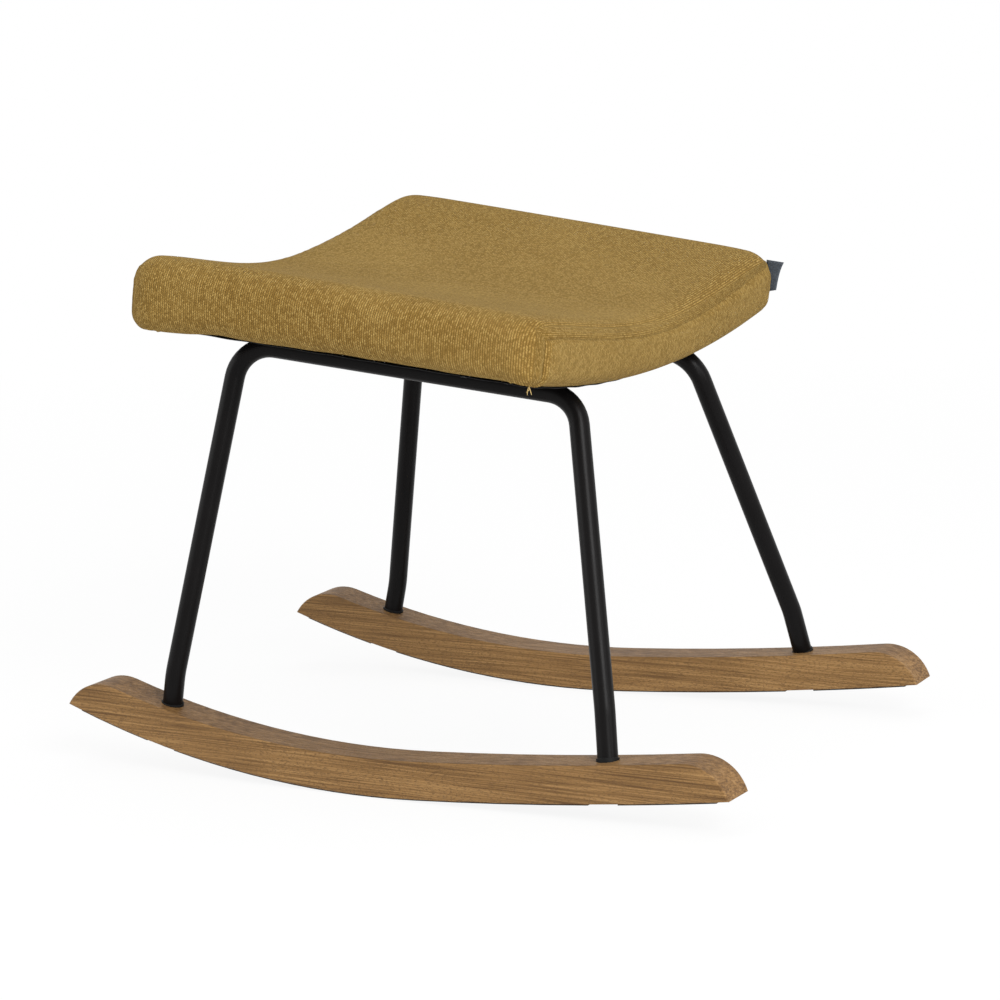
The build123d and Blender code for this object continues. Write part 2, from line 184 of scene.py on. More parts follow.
def clothFinish(name, cloth):
    finish = newFinish(name)
    lay = finish.add("ShaderNodeUVMap", {"uv_map": "weave"})
    wander = finish.noise(lay, cloth["wanderScale"], 1.0, out=1)
    lay = finish.add(
        "ShaderNodeVectorMath",
        {"operation": "MULTIPLY_ADD"},
        {0: wander, 1: (cloth["wander"], cloth["wander"], 0), 2: lay},
    )
    acrossRibs = finish.split(lay)
    ribs = acrossRibs / cloth["ribPitch"]
    halfStep = (ribs.calc("FLOOR") * 0.5).fraction()
    slant = (ribs.fraction() - 0.5) * (1 - 4 * halfStep) * cloth["loopSlant"]
    loops = acrossRibs.out(1) / cloth["loopPitch"] + halfStep + slant
    height = ribs.wave() * (0.50 + 0.50 * loops.wave())
    # every loop has its own shade; the shares of the tone add up to one
    loopShade = finish.add(
        "ShaderNodeTexWhiteNoise",
        {"noise_dimensions": "2D"},
        {"Vector": finish.join(ribs.calc("FLOOR"), loops.calc("FLOOR"), 0)},
    )
    melange = finish.noise(finish.stretch(lay, cloth["melangeScale"]), 1.0, 2.0, 0.6)
    slubs = finish.noise(finish.stretch(lay, cloth["slubScale"]), 1.0, 2.0)
    fuzz = finish.noise(lay, cloth["fuzzScale"], 2.0)
    clouds = finish.noise(lay, cloth["cloudScale"], 2.0)
    tone = finish.ramp(
        loopShade * 0.17 + melange * 0.51 + slubs * 0.10 + fuzz * 0.22,
        [(0.40, cloth["darkYarnAndShade"]), (0.50, cloth["yarn"]), (0.60, cloth["paleYarn"])],
    )
    # painted shade: the hollows between the ribs and loops are darkened towards the dark yarn
    paintedHollowShade = ((0.85 - height) * cloth["paintedHollowShadeStrength"]).clip()
    colour = finish.mix(paintedHollowShade, tone, cloth["darkYarnAndShade"])
    colour = finish.mix(((clouds - 0.46) * 0.6).clip(), colour, cloth["paleYarn"])
    # the sewn crease wanders, and gathers the cloth on its outer side
    seamLay = finish.add("ShaderNodeUVMap", {"uv_map": "seam"})
    run = finish.split(seamLay)
    runScale, asideScale = cloth["gatherScale"]
    gathers = finish.noise(finish.join(run * runScale, run.out(1) * asideScale, 0), 1.0, 1.0)
    aside = run.out(1) + (gathers - 0.5) * cloth["creaseWander"]
    crease = (1 - aside.calc("ABSOLUTE") / cloth["creaseWidth"]).clip()
    beside = (run.out(1) + cloth["gatherAt"]).calc("ABSOLUTE")
    outer = (1 - beside / cloth["gatherReach"]).clip()
    relief = height * (0.85 + 0.3 * loopShade) * cloth["relief"] + fuzz * 0.14
    relief = relief + outer * gathers * cloth["gatherDepth"] - crease * cloth["creaseDepth"]
    # painted shade: the sewn crease is darkened in the base colour as well as sunk by the bump
    return finish.surface(
        Base_Color=finish.mix(crease * 0.35, colour, cloth["darkYarnAndShade"]),
        Roughness=0.86 + 0.12 * fuzz,
        Normal=finish.bump(relief, 0.001),
        Sheen_Weight=0.10,
        Sheen_Roughness=0.45,
        Sheen_Tint=rgb(0.75, 0.72, 0.35),
        Specular_IOR_Level=0.08,
    )


# oiled solid wood, sawn straight, so the grain runs level through the curved rockers
rockerWood = {
    "pale": rgb(0.342, 0.196, 0.074),
    "middle": rgb(0.234, 0.126, 0.043),
    "dark": rgb(0.108, 0.054, 0.018),
    "bandsPerMetre": 210,
    "linesPerMetre": 900,
    "wander": 0.0045,
    "paintedTopShadeShare": 0.34,
}


def woodFinish(name, wood):
    finish = newFinish(name)
    place = finish.place()
    drift = finish.noise(finish.stretch(place, (5.5, 14, 14)), 1.0, 1.0)
    x = finish.split(place)
    y, z = x.out(1), x.out(2)
    # the board leans a little, and its growth rings show as lines about a millimetre apart
    level = z + x * 0.01 + y * 0.15 + drift * wood["wander"]
    bands = finish.noise(
        finish.join(x * 2.5, y * 60, level * wood["bandsPerMetre"]), 1.0, 2.0, 0.6
    )
    lines = finish.noise(
        finish.join(x * 9, y * 300, level * wood["linesPerMetre"]), 1.0, 2.0, 0.6
    )
    flecks = finish.noise(finish.join(x * 420, y * 900, z * 1300), 1.0, 2.0)
    patches = finish.noise(finish.join(x * 9, y * 20, z * 20), 1.0, 1.0)
    poreMask = ((flecks - 0.53) * 7).clip() * (0.35 + patches).clip()
    tone = finish.ramp(
        bands * 0.20 + lines * 0.55 + patches * 0.25,
        [(0.38, wood["dark"]), (0.50, wood["middle"]), (0.62, wood["pale"])],
    )
    # painted shade: the faces that look up are darkened towards the dark tone, as though less light fell on
    # them
    facing = finish.split(finish.add("ShaderNodeNewGeometry", out=1)).out(2)
    paintedTopShade = ((facing - 0.75) * 8).clip() * wood["paintedTopShadeShare"]
    tone = finish.mix(paintedTopShade, tone, wood["dark"])
    return finish.surface(
        Base_Color=finish.mix(poreMask * 0.65, tone, wood["dark"]),
        Roughness=0.62 - 0.2 * lines,
        Normal=finish.bump(lines * 0.5 - poreMask, 0.00025),
        Specular_IOR_Level=0.22,
    )


def coatFinish(name, coat):
    finish = newFinish(name)
    place = finish.place()
    peel = finish.noise(place, 1100.0, 2.0)
    handled = finish.noise(place, 28.0, 3.0)
    return finish.surface(
        Base_Color=finish.mix(handled, coat["colour"], coat["dusty"]),
        Roughness=coat["roughness"] + 0.14 * handled,
        Normal=finish.bump(peel, coat["relief"]),
        Specular_IOR_Level=coat["gloss"],
    )


def metalFinish(name, metal):
    finish = newFinish(name)
    place = finish.place()
    turned = finish.noise(finish.stretch(place, (1200, 1200, 150)), 1.0, 2.0)
    stain = finish.noise(place, 160.0, 2.0)
    return finish.surface(
        Base_Color=finish.mix(stain, metal["colour"], metal["dull"]),
        Metallic=1.0,
        Roughness=metal["roughness"] + 0.2 * turned,
        Normal=finish.bump(turned, 0.00003),
    )


# felt, lining and foam: fibres at one size, clouded at another
def fibreFinish(name, fibre):
    finish = newFinish(name)
    place = finish.place()
    fibres = finish.noise(place, 1 / fibre["size"], 3.0, 0.65)
    clouds = finish.noise(place, 45.0, 2.0)
    share = (fibres * 1.6 + clouds * 0.5 - 0.55).clip()
    return finish.surface(
        Base_Color=finish.mix(share, fibre["colour"], fibre["pale"]),
        Roughness=0.85 + 0.1 * fibres,
        Normal=finish.bump(fibres, fibre["relief"]),
        Specular_IOR_Level=0.15,
    )


# ribbed label ribbon, left bare
def ribbonFinish(name, ribbon):
    finish = newFinish(name)
    place = finish.place()
    x = finish.split(place)
    picks = (x.out(2) / ribbon["pitch"]).wave()
    warps = ((x + x.out(1)) / ribbon["pitch"]).wave()
    worn = finish.noise(place, 240.0, 3.0)
    return finish.surface(
        Base_Color=finish.mix(
            picks * 0.45 + worn * 0.5 - 0.1, ribbon["colour"], ribbon["pale"]
        ),
        Roughness=0.6 + 0.2 * worn,
        Normal=finish.bump(picks + warps * 0.4, 0.00012),
        Specular_IOR_Level=0.3,
    )


finishes = {
    "coverCloth": clothFinish("coverCloth", coverCloth),
    "rockerWood": woodFinish("rockerWood", rockerWood),
    "blackCoat": coatFinish("blackCoat", {
        "colour": rgb(0.0030, 0.0026, 0.0026), "dusty": rgb(0.0055, 0.0048, 0.0048),
        "roughness": 0.26, "relief": 0.00005, "gloss": 0.09,
    }),
    "blackPlastic": coatFinish("blackPlastic", {
        "colour": rgb(0.004, 0.004, 0.004), "dusty": rgb(0.009, 0.009, 0.009),
        "roughness": 0.5, "relief": 0.00003, "gloss": 0.12,
    }),
    "zincSteel": metalFinish("zincSteel", {
        "colour": rgb(0.55, 0.56, 0.58), "dull": rgb(0.34, 0.34, 0.33), "roughness": 0.28,
    }),
    "shellPlywood": woodFinish("shellPlywood", {
        "pale": rgb(0.60, 0.43, 0.26), "middle": rgb(0.50, 0.34, 0.19),
        "dark": rgb(0.33, 0.21, 0.11), "bandsPerMetre": 30, "linesPerMetre": 90, "wander": 0.03,
        "paintedTopShadeShare": 0.0,
    }),
    "stripFelt": fibreFinish("stripFelt", {
        "colour": rgb(0.016, 0.014, 0.013), "pale": rgb(0.06, 0.053, 0.047),
        "size": 0.0009, "relief": 0.0004,
    }),
    "liningCloth": fibreFinish("liningCloth", {
        "colour": rgb(0.010, 0.010, 0.011), "pale": rgb(0.030, 0.030, 0.032),
        "size": 0.0013, "relief": 0.00025,
    }),
    "sewingThread": fibreFinish("sewingThread", {
        "colour": rgb(0.30, 0.19, 0.05), "pale": rgb(0.62, 0.47, 0.22),
        "size": 0.0004, "relief": 0.0001,
    }),
    "tagRibbon": ribbonFinish("tagRibbon", {
        "colour": rgb(0.030, 0.037, 0.048), "pale": rgb(0.10, 0.115, 0.135), "pitch": 0.0007,
    }),
}
nodeFinish = {
    "rockerWood": ["rocker_left", "rocker_right"],
    "blackCoat": [
        "side_frame_left", "side_frame_right", "cross_tube_high", "cross_tube_low",
        "seat_tab_high_left", "seat_tab_high_right", "seat_tab_low_left", "seat_tab_low_right",
    ],
    "blackPlastic": ["leg_collars"],
    "zincSteel": [
        "leg_plugs", "rocker_screws", "rocker_washers", "seat_bolts", "seat_bolt_washers", "t_nuts",
    ],
    "shellPlywood": ["seat_shell"],
    "stripFelt": ["floor_strips_left", "floor_strips_right"],
}
for finishName, nodes in nodeFinish.items():
    for node in nodes:
        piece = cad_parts[node]
        piece.data.materials.clear()
        piece.data.materials.append(finishes[finishName])
print("finishes on", sum(len(nodes) for nodes in nodeFinish.values()), "nodes")

# the seat's own frame: along runs down the slope, across is Y and up is square to the seat;
# the dishes are drawn over drawnLength and drawnWidth
seat = {
    "middle": (-0.0261, 0.0, 0.3934),
    "slope": 7.3,
    "length": 0.361,
    "widths": (0.4610, 0.4627),
    "topDish": ((0.0096, -0.0244), (0.0116, -0.0154)),
    "underDish": ((-0.0520, -0.0613), (-0.0400, -0.0628)),
    "drawnLength": 0.361,
    "drawnWidth": 0.460,
}


def seatPoint(along, across, up):
    lean = math.radians(seat["slope"])
    x = seat["middle"][0] + along * math.cos(lean) + up * math.sin(lean)
    z = seat["middle"][2] - along * math.sin(lean) + up * math.cos(lean)
    return Vector((x, across, z))


def seatShare(along):
    return along / seat["drawnLength"] + 0.5


def dishLevels(dish, along):
    share = seatShare(along)
    return [high * (1 - share) + low * share for high, low in zip(*dish)]


def underHeight(along, across):
    edge, middle = dishLevels(seat["underDish"], along)
    rise, half = edge - middle, seat["drawnWidth"] / 2
    radius = (half**2 + rise**2) / (2 * rise)
    return middle + radius - math.sqrt(radius**2 - across**2)


# the pad's top runs from a round hollow into a round crest, more than an arc does, and the
# stretched cover draws its corners down
def topHeight(along, across, shape):
    edge, middle = dishLevels(seat["topDish"], along)
    reach = min(shape["pastEdge"], abs(across) / (seat["drawnWidth"] / 2))
    high, low = shape["crestShares"]
    crest = high + (low - high) * seatShare(along)
    curve = crest * (1 - math.cos(math.pi * reach)) / 2 + (1 - crest) * reach**2
    toCorner = math.hypot(
        seat["drawnLength"] / 2 - abs(along), seat["drawnWidth"] / 2 - abs(across)
    )
    drop = shape["cornerDrop"] * max(0, 1 - toCorner / shape["cornerReach"]) ** 2
    twist = shape["twist"] * math.copysign(reach**2, across) * (1 - seatShare(along))
    shoulder = shape["shoulder"] * math.exp(-(((reach - shape["shoulderAt"]) / shape["shoulderWidth"]) ** 2))
    shoulder *= (1 - seatShare(along)) * (across > 0)
    return middle + (edge - middle) * curve - drop + twist + shoulder


# padded seat: a box lattice bent to shape; each end panel is let in a little way inside
# the end face, so that the main panel's cloth folds over the pad's edges to the seam
cushion = {
    "cornerRound": 0.0267,
    "topRound": 0.0215,
    "underRound": 0.0144,
    "cell": (0.0045, 0.0045, 0.0036),
    "roundCells": 7,
    "seamCells": 4,
    "depth": 0.056,
    "crestShares": (0.32, 0.50),
    "crown": 0.0002,
    "cornerDrop": 0.0030,
    "cornerReach": 0.0555,
    "twist": 0.0025,
    "shoulder": 0.0021,
    "shoulderAt": 0.82,
    "shoulderWidth": 0.13,
    "pastEdge": 1.1,
    "sideSwell": 0.0046,
    "endSwell": 0.0052,
    "flap": 0.028,
    "flapStep": 0.003,
    "edgeWave": 0.0022,
    "waveAt": 0.1,
    "waveReach": 0.35,
    "cornerSags": (((0.0072, 0.085), (0.0072, 0.085)), ((0.0040, 0.030), (0.0, 0.030))),
    "seamRise": 0.62,
    "seamRiseReach": 0.03,
    "seamReach": 0.012,
    "seamDepth": 0.0010,
    "seamWidth": 0.0028,
    "seamRidge": 0.0007,
    "ridgeAt": 0.0055,
    "ridgeWidth": 0.0026,
    "puckerScale": 170,
    "foldInset": 0.004,
    "foldDepth": 0.0011,
    "foldWidth": 0.0022,
    "foldEnd": 0.45,
    "foldFade": 0.03,
    "underLay": 0.7,
    "endLays": (2.6, 1.3),
    "endLayUp": 0.4,
    "pressure": 4.0,
    "stiffness": 25,
    "bending": 0.6,
    "clothSteps": 20,
    "clothQuality": 6,
    "startInset": 0.0007,
    "moveAtMost": 0.0022,
    "loosePin": 0.12,
    "seamPin": 0.70,
    "fill": 0.85,
}
hair = 1e-9  # a point nearer than this to a face of the box lies on it


# stops along one side of the box, closer where it turns over a rounded edge
def latticeStops(half, low, high, cell, roundCells):
    inner = 2 * half - low - high
    count = max(2, round(inner / cell))
    start = [-half + low * i / roundCells for i in range(roundCells)]
    middle = [-half + low + inner * i / count for i in range(count)]
    end = [half - high + high * i / roundCells for i in range(roundCells + 1)]
    return start + middle + end


def makeLattice(shape):
    half = (seat["length"] / 2, max(seat["widths"]) / 2, shape["depth"] / 2)
    top, under = shape["topRound"], shape["underRound"]
    stops = [
        latticeStops(size, low, high, cell, shape["roundCells"])
        for size, (low, high), cell in zip(half, ((top, top), (top, top), (under, top)), shape["cell"])
    ]
    counts = [len(stop) - 1 for stop in stops]
    numbers, points, faces, panels = {}, [], [], []
    for side in range(3):
        first, second = [axis for axis in range(3) if axis != side]
        for fixed in (0, counts[side]):
            backwards = (fixed == 0) != (side == 1)
            for a in range(counts[first]):
                for b in range(counts[second]):
                    ring = []
                    for stepA, stepB in ((0, 0), (1, 0), (1, 1), (0, 1)):
                        key = [0, 0, 0]
                        key[side], key[first], key[second] = fixed, a + stepA, b + stepB
                        if tuple(key) not in numbers:
                            numbers[tuple(key)] = len(points)
                            points.append(tuple(stop[i] for stop, i in zip(stops, key)))
                        ring.append(numbers[tuple(key)])
                    faces.append(ring[::-1] if backwards else ring)
                    panels.append((side, fixed > 0))
    return points, faces, panels, half


def onUnderside(point, half):
    return point[2] < hair - half[2]


# moves a point of the sharp box onto the box with round corners and edges
def roundOver(point, half, shape):
    x, y, z = point
    corner = shape["cornerRound"]
    turn = shape["topRound"] if z > 0 else shape["underRound"]
    fromEdge = min(half[0] - abs(x), half[1] - abs(y))
    fromFace = half[2] - abs(z)
    inset, up, turned = 0.0, abs(z), False
    if fromFace < hair and fromEdge < turn:
        angle, turned = math.radians(45 + 45 * fromEdge / turn), True
    elif hair < fromFace < turn:
        angle, turned = math.radians(45 - 45 * fromFace / turn), True
    if turned:
        inset = turn * (1 - math.cos(angle))
        up = half[2] - turn * (1 - math.sin(angle))
    over = [max(0.0, abs(value) - (size - corner)) for value, size in zip((x, y), half)]
    length = math.hypot(*over)
    if length > 0:
        reach = max(over)
        if fromFace > hair or fromEdge < turn:
            reach = corner - inset
        over = [reach * value / length for value in over]
    flat = [
        math.copysign(min(abs(value), size - corner) + extra, value)
        for value, size, extra in zip((x, y), half, over)
    ]
    return flat[0], flat[1], math.copysign(up, z)


# the end seams climb towards the far side: the rows of cloth between the seam and the top
# close up there
def raiseSeam(point, half, shape):
    x, y, z = point
    fromTop, turn = half[2] - z, shape["topRound"]
    if not 0 < fromTop < turn:
        return point
    inset = shape["seamCells"] * turn / shape["roundCells"]
    nearEnd = max(0, 1 - (half[0] - abs(x)) / shape["seamRiseReach"])
    raised = inset * (1 - shape["seamRise"] * nearEnd * (0.5 + 0.5 * y / half[1]) ** 2)
    if fromTop < inset:
        fromTop *= raised / inset
    else:
        fromTop = raised + (fromTop - inset) * (turn - raised) / (turn - inset)
    return x, y, half[2] - fromTop


def bendSeat(points, half, shape):
    bent = []
    for point in points:
        along, across, up = roundOver(raiseSeam(point, half, shape), half, shape)
        share = up / shape["depth"] + 0.5
        lengthwise, widthwise = along / half[0], across / half[1]
        swell = math.sin(math.pi * min(1, max(0, share)))
        place = seatShare(along)
        width = seat["widths"][0] * (1 - place) + seat["widths"][1] * place
        across *= width / 2 / half[1]
        # each side swells most in the middle, and only the points close to it move
        sideways = shape["sideSwell"] * max(0, 1 - lengthwise**4) * swell * abs(widthwise) ** 14
        endways = shape["endSwell"] * max(0, 1 - widthwise**4) * swell * abs(lengthwise) ** 14
        across += math.copysign(sideways, across)
        along += math.copysign(endways, along)
        toCorner = math.hypot(half[0] - abs(along), half[1] - abs(across))
        drop, reach = shape["cornerSags"][along > 0][across > 0]
        sag = drop * max(0, 1 - toCorner / reach)
        under = underHeight(along, across) - sag
        top = topHeight(along, across, shape)
        top += shape["crown"] * max(0, 1 - lengthwise**4)
        height = under + share * (top - under)
        # the cloth is pulled under unevenly, so its lower edge wanders
        pull = noise.noise((along * 21, math.copysign(3.1, across), 0.4))
        pull += 0.5 * noise.noise((along * 55, math.copysign(7.7, across), across * 30))
        lowEdge = max(0, 1 - abs(share - shape["waveAt"]) / shape["waveReach"]) * abs(widthwise) ** 6
        height += shape["edgeWave"] * pull * lowEdge
        fromEdge = min(half[0] - abs(point[0]), half[1] - abs(point[1]))
        if onUnderside(point, half) and fromEdge > shape["flap"]:
            height += shape["flapStep"]
        bent.append((along, across, height))
    return bent


# how far a lattice point is from the seam round its end panel, which counts as inside
def fromSeam(point, half, shape):
    x, y, z = point
    inset = shape["seamCells"] * shape["topRound"] / shape["roundCells"]
    toEnd = half[0] - abs(x)
    inFromTop, inFromSide = half[2] - z - inset, half[1] - abs(y) - inset
    if onUnderside(point, half):
        return inFromSide if toEnd < shape["flap"] else -1.0
    if toEnd > hair:
        return -math.hypot(inset + toEnd, max(0.0, -inFromSide if inFromTop < 0 else 0.0))
    if min(inFromTop, inFromSide) > 0:
        return min(inFromTop, inFromSide)
    return -math.hypot(min(0.0, inFromTop), min(0.0, inFromSide))


# the edge of the foam shows as a soft line along the near half of the low end's edge
def fromFold(point, half, shape):
    x, y, z = point
    if half[2] - z > hair or x < 0:
        return 1.0
    run = (y + half[1]) / (2 * half[1])
    return abs(half[0] - x - shape["foldInset"]) + shape["foldFade"] * max(0, run - shape["foldEnd"])


def makePiece(name, points, faces, material):
    mesh = bpy.data.meshes.new(name)
    mesh.from_pydata(points, [], faces)
    mesh.polygons.foreach_set("use_smooth", [True] * len(faces))
    mesh.materials.append(material)
    mesh.update()
    piece = bpy.data.objects.new(name, mesh)
    bpy.context.scene.collection.objects.link(piece)
    return piece


# keeps the shape that a modifier gives, and drops the modifier
def keepShape(piece, modifier):
    shaped = piece.evaluated_get(bpy.context.evaluated_depsgraph_get())
    mesh = bpy.data.meshes.new_from_object(shaped)
    piece.modifiers.remove(modifier)
    piece.data = mesh


# gives a sheet its thickness, half of it on either side
def thicken(piece, thickness):
    wall = piece.modifiers.new("thicken", "SOLIDIFY")
    wall.thickness = thickness
    wall.offset = 0
    keepShape(piece, wall)


# blown up as a cloth held by its seams and flaps; however far a point went, it keeps less
# than moveAtMost of its move
def tauten(piece, pins, shape):
    for vertex in piece.data.vertices:
        vertex.co -= vertex.normal * shape["startInset"]
    group = piece.vertex_groups.new(name="pins")
    for number, weight in enumerate(pins):
        group.add([number], weight, "REPLACE")
    cloth = piece.modifiers.new("taut", "CLOTH")
    cloth.settings.quality = shape["clothQuality"]
    cloth.settings.vertex_group_mass = "pins"
    cloth.settings.use_pressure = True
    cloth.settings.uniform_pressure_force = shape["pressure"]
    cloth.settings.effector_weights.gravity = 0
    cloth.settings.tension_stiffness = shape["stiffness"]
    cloth.settings.compression_stiffness = shape["stiffness"]
    cloth.settings.bending_stiffness = shape["bending"]
    cloth.collision_settings.use_collision = False
    cloth.point_cache.frame_start = 1
    cloth.point_cache.frame_end = shape["clothSteps"]
    for step in range(1, shape["clothSteps"] + 1):
        bpy.context.scene.frame_set(step)
    blown = piece.evaluated_get(bpy.context.evaluated_depsgraph_get())
    ends = [vertex.co.copy() for vertex in blown.data.vertices]
    piece.modifiers.remove(cloth)
    bpy.context.scene.frame_set(1)
    farthest = 0
    for vertex, end in zip(piece.data.vertices, ends):
        move = end - vertex.co
        farthest = max(farthest, move.length)
        vertex.co += move * shape["moveAtMost"] / (shape["moveAtMost"] + move.length)
    print("cover taut, moved at most", round(farthest * 1000, 2), "mm before the cap")


def smoothOnce(piece):
    subdivision = piece.modifiers.new("smooth", "SUBSURF")
    subdivision.levels = 1
    subdivision.render_levels = 1
    keepShape(piece, subdivision)


# draws the cloth in along the vertex groups that hold the seams
def sinkSeams(piece, shape):
    mesh = piece.data
    numbers = {piece.vertex_groups[name].index: name for name in ("seam", "fold")}
    normals = [vertex.normal.copy() for vertex in mesh.vertices]
    for vertex, normal in zip(mesh.vertices, normals):
        for entry in vertex.groups:
            if entry.group not in numbers or entry.weight <= 0:
                continue
            away = (1 - entry.weight) * shape["seamReach"]
            if numbers[entry.group] == "seam":
                groove = math.exp(-((away / shape["seamWidth"]) ** 2))
                ridge = math.exp(-(((away - shape["ridgeAt"]) / shape["ridgeWidth"]) ** 2))
                gather = 1 + 0.5 * noise.noise(vertex.co * shape["puckerScale"])
                push = (shape["seamRidge"] * ridge - shape["seamDepth"] * groove) * gather
            else:
                push = -shape["foldDepth"] * math.exp(-((away / shape["foldWidth"]) ** 2))
            vertex.co += normal * push
    mesh.update()


latticePoints, faces, panels, half = makeLattice(cushion)
seatShape = bendSeat(latticePoints, half, cushion)
seatCushion = makePiece(
    "seatCushion", [seatPoint(*place) for place in seatShape], faces, finishes["coverCloth"]
)


# the ribs run across the top and down the long sides, and up each end panel; the panels lie
# apart in the weave map, and the seam map holds the run along the nearest seam and the
# distance from it
def layCloth(piece, shape, latticePoints, seatShape, panels, half):
    weave = piece.data.uv_layers.new(name="weave")
    seams = piece.data.uv_layers.new(name="seam")
    inset = shape["seamCells"] * shape["topRound"] / shape["roundCells"]
    for polygon, (side, positive) in zip(piece.data.polygons, panels):
        corners = [latticePoints[number] for number in polygon.vertices]
        fromTop = half[2] - sum(corner[2] for corner in corners) / 4
        fromSide = half[1] - abs(sum(corner[1] for corner in corners)) / 4
        beside = side == 1 or side == 0 and fromSide < min(inset, fromTop)
        for loop, number in zip(polygon.loop_indices, polygon.vertices):
            point = latticePoints[number]
            along, across, up = seatShape[number]
            down = seat["drawnWidth"] / 2 + topHeight(along, across, shape) - up
            beyond = max(half[2] - point[2], 0) if not beside else half[1] - abs(point[1])
            if side == 0:
                along = math.copysign(half[0] + beyond, point[0])
            if side == 2:
                place = (along, across if positive else across + shape["underLay"])
            elif beside:
                place = (along, math.copysign(down, point[1]))
            elif fromTop < inset:
                place = (along, across)
            else:
                place = (across + shape["endLays"][positive], up + shape["endLayUp"])
            weave.data[loop].uv = place
            run = up if beside or side == 0 and fromSide < fromTop else across
            seams.data[loop].uv = (run, fromSeam(point, half, shape))


layCloth(seatCushion, cushion, latticePoints, seatShape, panels, half)
seamGroup = seatCushion.vertex_groups.new(name="seam")
foldGroup = seatCushion.vertex_groups.new(name="fold")
pins = []
for number, point in enumerate(latticePoints):
    seam = max(0.0, 1 - abs(fromSeam(point, half, cushion)) / cushion["seamReach"])
    fold = max(0.0, 1 - fromFold(point, half, cushion) / cushion["seamReach"])
    seamGroup.add([number], seam, "REPLACE")
    foldGroup.add([number], fold, "REPLACE")
    held = onUnderside(point, half)
    pins.append(1.0 if held else cushion["loosePin"] + cushion["seamPin"] * seam**2)
print("seat lattice of", len(latticePoints), "points")
tauten(seatCushion, pins, cushion)
smoothOnce(seatCushion)
sinkSeams(seatCushion, cushion)
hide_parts("cover_main", "cover_end_high", "cover_end_low", "foam_pad")
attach(seatCushion, "root")
print("seat cushion of", len(seatCushion.data.vertices), "points")


# a closed tube of thread or wire along a line of points
def addTube(points, faces, line, radius, sides=6, endShare=0.55):
    first = len(points)
    for number, place in enumerate(line):
        ahead = line[min(number + 1, len(line) - 1)]
        behind = line[max(number - 1, 0)]
        run = (ahead - behind).normalized()
        level = run.orthogonal().normalized()
        upright = run.cross(level)
        taper = endShare if number in (0, len(line) - 1) else 1.0
        for step in range(sides):
            turn = 2 * math.pi * step / sides
            around = level * math.cos(turn) + upright * math.sin(turn)
            points.append(place + around * radius * taper)
    for number in range(len(line) - 1):
        for step in range(sides):
            a = first + number * sides + step
            b = first + number * sides + (step + 1) % sides
            faces.append((a, b, b + sides, a + sides))
    faces.append(tuple(first + step for step in reversed(range(sides))))
    last = first + (len(line) - 1) * sides
    faces.append(tuple(last + step for step in range(sides)))


# loose ends of the sewing thread under the seat's near corner at the low end
threadEnds = {
    "root": (0.1680, -0.2185, -0.0425),
    "radius": 0.00035,
    "steps": 6,
    "strands": (
        ((0.0020, -0.0010, -0.0035), (0.0035, -0.0020, -0.0055)),
        ((-0.0010, -0.0010, -0.0030), (0.0003, -0.0025, -0.0062)),
        ((0.0008, 0.0010, -0.0030), (-0.0020, 0.0005, -0.0048)),
    ),
}


def makeThreadEnds(threads):
    points, faces = [], []
    root = Vector(threads["root"])
    for bend, tip in threads["strands"]:
        line = []
        for step in range(threads["steps"] + 1):
            share = step / threads["steps"]
            pull = Vector(bend) * 2 * share * (1 - share) + Vector(tip) * share**2
            line.append(seatPoint(*(root + pull)))
        addTube(points, faces, line, threads["radius"])
    piece = makePiece("threadEnds", points, faces, finishes["sewingThread"])
    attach(piece, "root")


makeThreadEnds(threadEnds)

# dust lining stapled over the flaps, drawn tight between the staples
lining = {
    "size": (0.3308, 0.4298),
    "cell": 0.0042,
    "below": 0.0006,
    "dip": 0.0016,
    "flapEdge": 0.0285,
    "margin": 0.0151,
    "stepWidth": 0.003,
    "scallop": 0.0004,
    "scallopReach": 0.006,
    "ripple": 0.0003,
    "rippleScale": 30,
    "staplePitch": 0.036,
    "thickness": 0.0006,
    "windows": ((-0.080, 0.1371), (0.110, 0.1094)),
    "windowTurn": -8.28,
    "windowSize": 0.0335,
    "inward": 0.008,
}


def liningHeight(along, across, cloth):
    inEdge = min(
        seat["drawnLength"] / 2 - abs(along), seat["drawnWidth"] / 2 - abs(across)
    )
    # over the flaps the lining lies lower, and steps up onto the shell inside them
    step = min(1, max(0, (inEdge - cloth["flapEdge"]) / cloth["stepWidth"] + 0.5))
    step = step * step * (3 - 2 * step)
    height = underHeight(along, across) - cloth["below"] + cloth["dip"] * step
    nearEdge = math.exp(-max(0, inEdge - cloth["margin"]) / cloth["scallopReach"])
    byLongSide = inEdge == seat["drawnWidth"] / 2 - abs(across)
    run = along if byLongSide else across
    between = 0.5 - 0.5 * math.cos(2 * math.pi * run / cloth["staplePitch"])
    height -= cloth["scallop"] * nearEdge * between
    scale = cloth["rippleScale"]
    return height + cloth["ripple"] * noise.noise((along * scale, across * scale, 0.2))


def inWindow(along, across, cloth):
    for place, reach in cloth["windows"]:
        for side in (-1, 1):
            turn = math.radians(cloth["windowTurn"]) * side
            a, b = along - place, across - side * (reach - cloth["inward"])
            x = a * math.cos(turn) + b * math.sin(turn)
            y = b * math.cos(turn) - a * math.sin(turn)
            if max(abs(x), abs(y)) < cloth["windowSize"] / 2:
                return True
    return False


